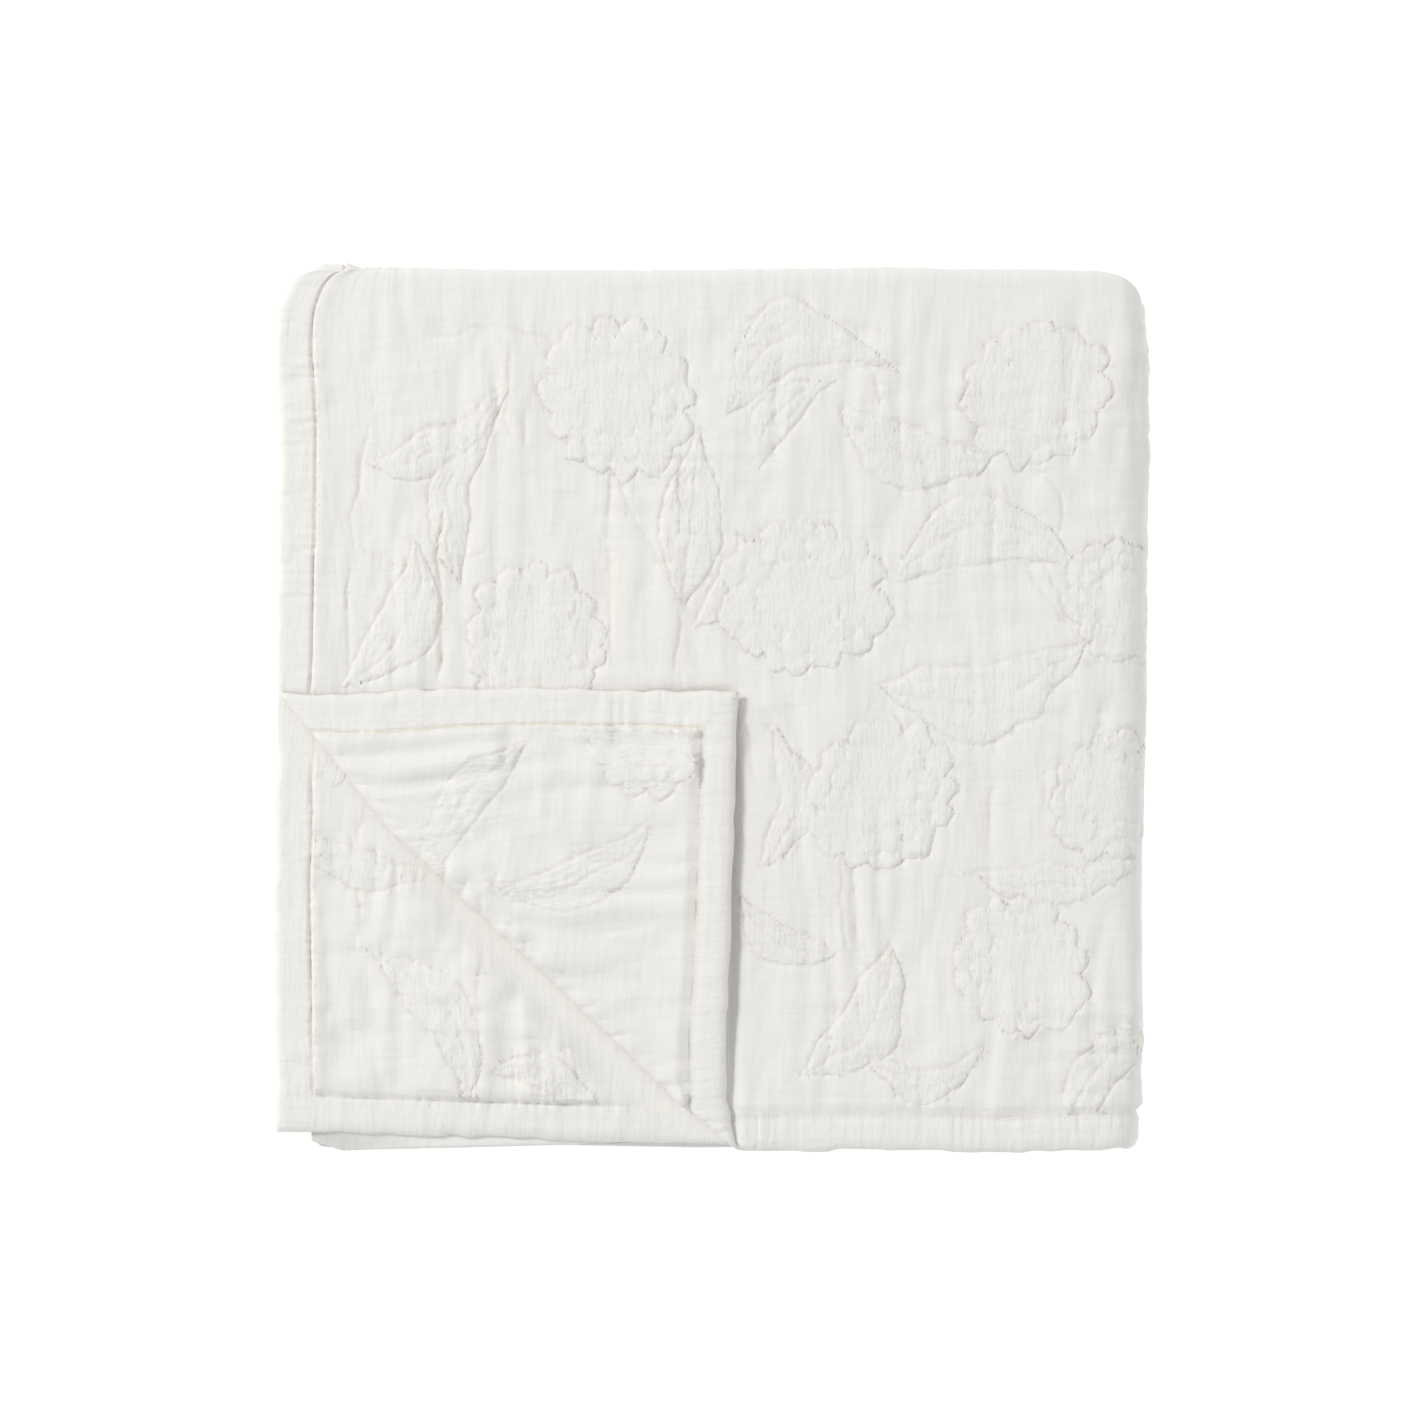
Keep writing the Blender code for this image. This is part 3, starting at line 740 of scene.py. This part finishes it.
def fold_under(points, axis, bend, crease):
    """Carries all that lies past the bend round and under the rest of the stack."""
    start = bend.start + read_rows(crease, points[:, 1 - axis])
    past = points[:, axis] - start
    reach = bend.radius + points[:, 2]
    angle = np.clip(past / bend.radius, 0.0, math.pi)
    beyond = np.maximum(past - math.pi * bend.radius, 0.0)
    turned = past > 0.0
    points[:, axis] = np.where(turned, start + reach * np.sin(angle) - beyond, points[:, axis])
    points[:, 2] = np.where(turned, reach * np.cos(angle) - bend.radius, points[:, 2])
    return points


def corner_draw(past, reach, draw):
    """How far a corner is drawn in by an elliptical rounding, this far past the rounding's start."""
    return draw * (1.0 - np.sqrt(1.0 - np.clip(past / reach, 0.0, 1.0) ** 2))


def round_corners(points):
    """Draws in the stack's upper corners, and the lower left one of the panels under the first."""
    x, y, z = points.T.copy()
    top = LENGTH_2.start + LENGTH_2.radius
    right = WIDTH_2.start + WIDTH_2.radius
    upper_left = corner_draw(y - top + TOP_LEFT_REACH, TOP_LEFT_REACH, TOP_LEFT_DRAW)
    upper_right = corner_draw(x - right + TOP_RIGHT_REACH, TOP_RIGHT_REACH, TOP_RIGHT_DRAW)
    lower_left = corner_draw(LOWER_LEFT_REACH - y, LOWER_LEFT_REACH, LOWER_LEFT_DRAW)
    lower_left = np.where(z < -2 * LENGTH_2.radius, lower_left, 0.0)
    points[:, 0] += (upper_left + lower_left) * (1.0 - ease(x / DRAW_FADE))
    points[:, 1] -= upper_right * (1.0 - ease((top - y) / DRAW_FADE))
    return points


def fold_cloth(points):
    """Takes points of the flat cloth to their places in the folded stack."""
    points = pull_hems(points)
    points = turn_corner(points)
    points = fold_under(points, 1, LENGTH_1, LENGTH_1_CREASE)
    points = fold_under(points, 1, LENGTH_2, LENGTH_2_CREASE)
    points = fold_under(points, 0, WIDTH_1, WIDTH_1_CREASE)
    points = fold_under(points, 0, WIDTH_2, WIDTH_2_CREASE)
    return round_corners(points)


def frame_shift(points):
    """The way from the plain folded cloth, without relief, to the solid that it stands for."""
    low, high = points.min(axis=0), points.max(axis=0)
    shift = (np.array(STACK_LOW) + np.array(STACK_HIGH) - low - high) / 2
    shift[2] = STACK_LOW[2] - low[2]
    return shift


def lattice_lines(strips):
    """The places of the fine lines across the cloth, and which of them bound its cells."""
    places, bounds = [0.0], [0]
    for strip in strips:
        start = places[-1]
        step = (strip.end - start) / (strip.cells * strip.fine)
        for count in range(strip.cells * strip.fine):
            places.append(start + step * (count + 1))
            if (count + 1) % strip.fine == 0:
                bounds.append(len(places) - 1)
    return np.array(places), np.array(bounds)


def bend_end(bend):
    return bend.start + math.pi * bend.radius


LINES_X, BOUNDS_X = lattice_lines(
    (
        Strip(WIDTH_2.start, 28, 18),
        Strip(bend_end(WIDTH_2), WIDTH_2.steps, 6),
        Strip(WIDTH_1.start, 6, 1),
        Strip(bend_end(WIDTH_1), WIDTH_1.steps, 1),
        Strip(SPREAD - HEM, 12, 1),
        Strip(SPREAD, 2, 1),
    )
)
LINES_Y, BOUNDS_Y = lattice_lines(
    (
        Strip(LENGTH_2.start, 31, 12),
        Strip(bend_end(LENGTH_2), LENGTH_2.steps, 3),
        Strip(LENGTH_1.start, 10, 1),
        Strip(bend_end(LENGTH_1), LENGTH_1.steps, 1),
        Strip(SPREAD - CORNER - HEM, 10, 1),
        Strip(SPREAD, 17, 12),
    )
)


def shows(x, y, on_face):
    """Whether a cell with its middle here is on a part of the cloth that shows."""
    past = past_crease(x, y)
    if abs(past - math.pi / 2 * (CLOTH + CORNER_LIFT)) < 3 * HEM:
        return True
    if on_face:
        return x < bend_end(WIDTH_2) and y < bend_end(LENGTH_2) and max(x, y) > CORNER - HEM
    return past > 0.0 or past_crease(x, SPREAD - y) > -HEM


def needs_of_steps(x, y, on_face):
    """How much a block of the lattice needs fine steps both ways, only across, and only along."""
    past = past_crease(x, y)
    middle = math.pi / 2 * (CLOTH + CORNER_LIFT)
    band = np.where(np.abs(past - middle) < middle + CREASE_BAND, SURE_NEED, 0.0)
    shown = (np.maximum(x, y) > CORNER_EDGE) | ((past > middle) & (not on_face))
    lines = np.zeros_like(x)
    for step_x, step_y in PROBES:
        lines = np.maximum(lines, relief(x + step_x, y + step_y, 1.0)[1])
    sides = crinkles(x - PUFF_REACH, y) + crinkles(x + PUFF_REACH, y)
    valleys = ease((sides / 2 - crinkles(x, y)) / VALLEY_DEPTH)
    inside, _, side = hem_places(x, y)
    hem = np.where(inside < HEM, HEM_NEED, 0.0)
    seam = np.where(np.abs(inside - HEM) < SEAM_SIDE, SURE_NEED, 0.0)
    both = np.maximum(band, np.maximum(lines, seam) * shown)
    across = np.maximum(valleys, hem * (side >= LOWER_SIDE)) * shown
    along = hem * (side < LOWER_SIDE) * shown
    return both, across, along


def lay_faces():
    """The faces of both sides, each as the lattice corners low x, low y, high x, high y, side."""
    plain, blocks = [], []
    for side in (0, 1):
        for low_x, high_x in zip(BOUNDS_X[:-1], BOUNDS_X[1:]):
            for low_y, high_y in zip(BOUNDS_Y[:-1], BOUNDS_Y[1:]):
                middle_x = (LINES_X[low_x] + LINES_X[high_x]) / 2
                middle_y = (LINES_Y[low_y] + LINES_Y[high_y]) / 2
                fine = high_x - low_x >= BLOCK and high_y - low_y >= BLOCK
                if not (fine and shows(middle_x, middle_y, side == 0)):
                    plain.append((low_x, low_y, high_x, high_y, side))
                    continue
                for at_x in range(low_x, high_x, BLOCK):
                    for at_y in range(low_y, high_y, BLOCK):
                        blocks.append((at_x, at_y, at_x + BLOCK, at_y + BLOCK, side))
    blocks = np.array(blocks)
    middle_x = (LINES_X[blocks[:, 0]] + LINES_X[blocks[:, 2]]) / 2
    middle_y = (LINES_Y[blocks[:, 1]] + LINES_Y[blocks[:, 3]]) / 2
    both, across, along = np.zeros((3, len(blocks)))
    for side in (0, 1):
        chosen = blocks[:, 4] == side
        needs = needs_of_steps(middle_x[chosen], middle_y[chosen], side == 0)
        both[chosen], across[chosen], along[chosen] = needs
    steps_x = np.full(len(blocks), BLOCK)
    steps_y = np.full(len(blocks), BLOCK)
    fine = most_needed(both, MOST_FINE)
    one_way = most_needed(np.where(fine, 0.0, np.maximum(across, along)), MOST_NARROW)
    steps_x[fine | (one_way & (across >= along))] = 1
    steps_y[fine | (one_way & (along > across))] = 1
    faces = list(plain)
    for (low_x, low_y, high_x, high_y, side), step_x, step_y in zip(blocks.tolist(), steps_x, steps_y):
        for at_x in range(low_x, high_x, step_x):
            for at_y in range(low_y, high_y, step_y):
                faces.append((at_x, at_y, at_x + step_x, at_y + step_y, side))
    return faces


def most_needed(need, most):
    """Marks up to this many of the blocks, those that need it most."""
    marked = np.zeros(len(need), dtype=bool)
    marked[np.argsort(-need, kind="stable")[:most]] = True
    return marked & (need > LEAST_NEED)


def mark_corners(faces):
    """Which points of the lattice are corners of a face, on each side."""
    used = np.zeros((2, len(LINES_X), len(LINES_Y)), dtype=bool)
    for low_x, low_y, high_x, high_y, side in faces:
        used[side, low_x, low_y] = used[side, high_x, low_y] = True
        used[side, low_x, high_y] = used[side, high_x, high_y] = True
    for rim in (np.s_[0, :], np.s_[-1, :], np.s_[:, 0], np.s_[:, -1]):
        both = used[0][rim] | used[1][rim]
        used[0][rim] = both
        used[1][rim] = both
    return used


def face_ring(face, used):
    """The corners of a face in order, with those of its finer neighbours on its edges."""
    low_x, low_y, high_x, high_y, side = face
    ring = [(low_x, low_y)]
    ring += [(x, low_y) for x in range(low_x + 1, high_x) if used[side, x, low_y]]
    ring += [(high_x, low_y)]
    ring += [(high_x, y) for y in range(low_y + 1, high_y) if used[side, high_x, y]]
    ring += [(high_x, high_y)]
    ring += [(x, high_y) for x in range(high_x - 1, low_x, -1) if used[side, x, high_y]]
    ring += [(low_x, high_y)]
    ring += [(low_x, y) for y in range(high_y - 1, low_y, -1) if used[side, low_x, y]]
    return ring


def rim_points(used):
    """The lattice points round the edge of the cloth, in order."""
    last_x, last_y = len(LINES_X) - 1, len(LINES_Y) - 1
    ring = [(x, 0) for x in range(last_x)]
    ring += [(last_x, y) for y in range(last_y)]
    ring += [(x, last_y) for x in range(last_x, 0, -1)]
    ring += [(0, y) for y in range(last_y, 0, -1)]
    return [(x, y) for x, y in ring if used[0, x, y]]


def cloth_mesh():
    """The folded cloth as a closed mesh, with its flat place as its UV map."""
    faces = lay_faces()
    used = mark_corners(faces)
    side_of, x_of, y_of = np.nonzero(used)
    number = np.full(used.shape, -1)
    number[side_of, x_of, y_of] = np.arange(len(side_of))
    flat = np.stack([LINES_X[x_of], LINES_Y[y_of], np.where(side_of == 0, 0.0, -CLOTH)], axis=1)
    rings = []
    for face in faces:
        ring = [int(number[face[4], x, y]) for x, y in face_ring(face, used)]
        rings.append(ring if face[4] == 0 else ring[::-1])
    # The rim has one more line, which stands out and rounds it
    rim = rim_points(used)
    first = len(flat)
    rim_x = np.array([LINES_X[x] for x, y in rim])
    rim_y = np.array([LINES_Y[y] for x, y in rim])
    out_x = np.where(rim_x <= 0.0, -RIM_ROUND, np.where(rim_x >= LINES_X[-1], RIM_ROUND, 0.0))
    out_y = np.where(rim_y <= 0.0, -RIM_ROUND, np.where(rim_y >= LINES_Y[-1], RIM_ROUND, 0.0))
    middle = np.stack([rim_x + out_x, rim_y + out_y, np.full(len(rim), -CLOTH / 2)], axis=1)
    for place, (x, y) in enumerate(rim):
        following = (place + 1) % len(rim)
        next_x, next_y = rim[following]
        here, there = first + place, first + following
        rings.append([int(number[0, next_x, next_y]), int(number[0, x, y]), here, there])
        rings.append([there, here, int(number[1, x, y]), int(number[1, next_x, next_y])])
    shaped = shape_faces(flat.copy(), side_of == 0)
    folded = fold_cloth(np.vstack([shaped, middle])) + frame_shift(fold_cloth(flat.copy()))
    mesh = bpy.data.meshes.new("folded_cloth")
    mesh.from_pydata(folded.tolist(), [], rings)
    places = np.vstack([flat, middle])[:, :2] / SPREAD
    layer = mesh.uv_layers.new(name="flat_cloth")
    corners = np.zeros(len(mesh.loops), dtype=np.int32)
    mesh.loops.foreach_get("vertex_index", corners)
    layer.data.foreach_set("uv", places[corners].ravel())
    # The sunken lines and the hem's stitched groove are kept with the points, for the painted shade in
    # them
    _, woven, stitched, motif = relief(flat[:, 0], flat[:, 1], 1.0)
    for name, values in (("line_shade", woven), ("seam", stitched), ("motif", motif)):
        layer = mesh.attributes.new(name, "FLOAT", "POINT")
        layer.data.foreach_set("value", np.concatenate([values, np.zeros(len(middle))]))
    mesh.shade_smooth()
    mesh.validate()
    return mesh


class Shade:
    """A shader socket that takes part in sums."""

    tree = None

    def __init__(self, socket):
        self.socket = socket

    @classmethod
    def node(cls, kind, settings=None, **sockets):
        made = cls.tree.nodes.new(kind)
        for name, value in (settings or {}).items():
            setattr(made, name, value)
        for name, value in sockets.items():
            key = int(name[1:]) if name[0] == "_" and name[1:].isdigit() else name.replace("_", " ")
            target = made.inputs[key]
            if isinstance(value, Shade):
                cls.tree.links.new(value.socket, target)
            else:
                target.default_value = value
        return made

    @classmethod
    def math(cls, operation, first, second=0.0):
        return cls(cls.node("ShaderNodeMath", {"operation": operation}, _0=first, _1=second).outputs[0])

    def __add__(self, other):
        return Shade.math("ADD", self, other)

    def __radd__(self, other):
        return Shade.math("ADD", other, self)

    def __sub__(self, other):
        return Shade.math("SUBTRACT", self, other)

    def __rsub__(self, other):
        return Shade.math("SUBTRACT", other, self)

    def __mul__(self, other):
        return Shade.math("MULTIPLY", self, other)

    def __rmul__(self, other):
        return Shade.math("MULTIPLY", other, self)


def painted(name):
    """The values of this name that are kept with the mesh's points."""
    return Shade(Shade.node("ShaderNodeAttribute", {"attribute_name": name}).outputs["Fac"])


def start_material(name):
    material = bpy.data.materials.new(name)
    material.use_nodes = True
    Shade.tree = material.node_tree
    return material, material.node_tree.nodes["Principled BSDF"]


def noise(place, scale, detail=2.0, stretch=(1.0, 1.0, 1.0)):
    turned = Shade.node("ShaderNodeMapping", {"vector_type": "POINT"}, Vector=place, Scale=stretch)
    made = Shade.node(
        "ShaderNodeTexNoise",
        {"noise_dimensions": "3D"},
        Vector=Shade(turned.outputs["Vector"]),
        Scale=scale,
        Detail=detail,
        Roughness=0.55,
    )
    return Shade(made.outputs["Fac"])


def mix_colour(share, low, high):
    made = Shade.node("ShaderNodeMix", {"data_type": "RGBA"}, _0=share, _6=low, _7=high)
    return Shade(made.outputs[2])


def double_cotton():
    """Warm white cotton: a plain weave with slubs, with painted shade, darker and warmer, in its sunken
    lines and in the hem's stitched groove.
    """
    material, shader = start_material("double_cotton")
    uv = Shade(Shade.node("ShaderNodeUVMap", {"uv_map": "flat_cloth"}).outputs["UV"])
    line_shade, seam, motif = (painted(name) for name in ("line_shade", "seam", "motif"))
    base = mix_colour(noise(uv, CLOUD_SCALE), WHITE_WARM, WHITE_COOL)
    # Painted shade, darker and warmer, along the sunken lines
    colour = mix_colour(line_shade * LINE_SHADE_SHARE, base, PAINTED_LINE_SHADE)
    # Painted shade, darker and yellower, in the hem's stitched groove
    colour = mix_colour(seam * seam * STITCH_SHADE_SHARE, colour, PAINTED_STITCH_SHADE)
    warp = noise(uv, THREAD_SCALE, stretch=(4.0, 0.5, 1.0))
    weft = noise(uv, THREAD_SCALE, stretch=(0.5, 4.0, 1.0))
    # Fine creases of the crinkled cloth, along the warp and, fewer, across it
    along = Shade.math("ABSOLUTE", noise(uv, FOLD_SCALE, stretch=(1.0, 0.16, 1.0)) - 0.5)
    across = Shade.math("ABSOLUTE", noise(uv, FOLD_SCALE, stretch=(0.20, 1.0, 1.0)) - 0.5)
    height = warp * THREAD_BUMP + weft * THREAD_BUMP + along * FOLDS_ALONG + across * FOLDS_ACROSS
    # The flowers and leaves are woven closer, in small ribs along the warp and knots between them
    ribs = noise(uv, RIB_SCALE, 1.0, (2.4, 0.7, 1.0))
    knots = noise(uv, KNOT_SCALE, 1.0, (1.0, 1.2, 1.0))
    height = height + motif * (ribs * RIB_BUMP + knots * KNOT_BUMP)
    bump = Shade.node("ShaderNodeBump", {}, Strength=BUMP_STRENGTH, Distance=BUMP_DISTANCE, Height=height)
    links = material.node_tree.links
    links.new(colour.socket, shader.inputs["Base Color"])
    links.new(bump.outputs["Normal"], shader.inputs["Normal"])
    shader.inputs["Roughness"].default_value = COTTON_ROUGHNESS
    shader.inputs["Specular IOR Level"].default_value = COTTON_GLOSS
    return material


def studio_floor():
    material, shader = start_material("studio_floor")
    shader.inputs["Base Color"].default_value = FLOOR_GREY
    shader.inputs["Roughness"].default_value = 1.0
    shader.inputs["Specular IOR Level"].default_value = 0.0
    shader.inputs["Emission Color"].default_value = WHITE
    shader.inputs["Emission Strength"].default_value = FLOOR_GLOW
    return material


def add_object(name, data):
    made = bpy.data.objects.new(name, data)
    bpy.context.scene.collection.objects.link(made)
    return made


def aim(made, place, target):
    """Puts a lamp or camera at a place, facing another."""
    made.location = place
    run = np.array(target) - np.array(place)
    flat = math.hypot(run[0], run[1])
    made.rotation_euler = (math.atan2(flat, -run[2]), 0.0, math.atan2(-run[0], run[1]))


def light_studio():
    for lamp in LAMPS:
        light = bpy.data.lights.new(lamp.name, lamp.kind)
        light.energy = lamp.energy
        if lamp.kind == "SUN":
            light.angle = lamp.spread
        else:
            light.size = lamp.spread
        aim(add_object(lamp.name, light), lamp.place, (0.0, 0.0, 0.0))
    world = bpy.data.worlds.new("studio")
    world.use_nodes = True
    background = world.node_tree.nodes["Background"]
    background.inputs["Color"].default_value = SKY_COLOUR
    background.inputs["Strength"].default_value = SKY_STRENGTH
    bpy.context.scene.world = world


def place_camera():
    camera = bpy.data.cameras.new("overhead")
    camera.lens = LENS
    camera.sensor_width = SENSOR
    made = add_object("overhead", camera)
    above = FRAME_PIXELS * PIXEL * LENS / SENSOR
    made.location = (0.0, 0.0, STACK_HIGH[2] + above)
    made.rotation_euler = (0.0, 0.0, 0.0)
    bpy.context.scene.camera = made


def lay_floor():
    bpy.ops.object.select_all(action="DESELECT")
    bpy.ops.mesh.primitive_plane_add(size=FLOOR_SIDE, location=(0.0, 0.0, -FLOOR_BELOW))
    floor = bpy.context.object
    floor.name = "floor"
    floor.data.materials.append(studio_floor())


def lay_cloth():
    cloth = add_object("cloth", cloth_mesh())
    cloth.data.materials.append(double_cotton())
    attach(cloth, "root")
    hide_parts("bedspread")


place_camera()
light_studio()
lay_floor()
lay_cloth()
bpy.context.scene.view_settings.view_transform = "Standard"
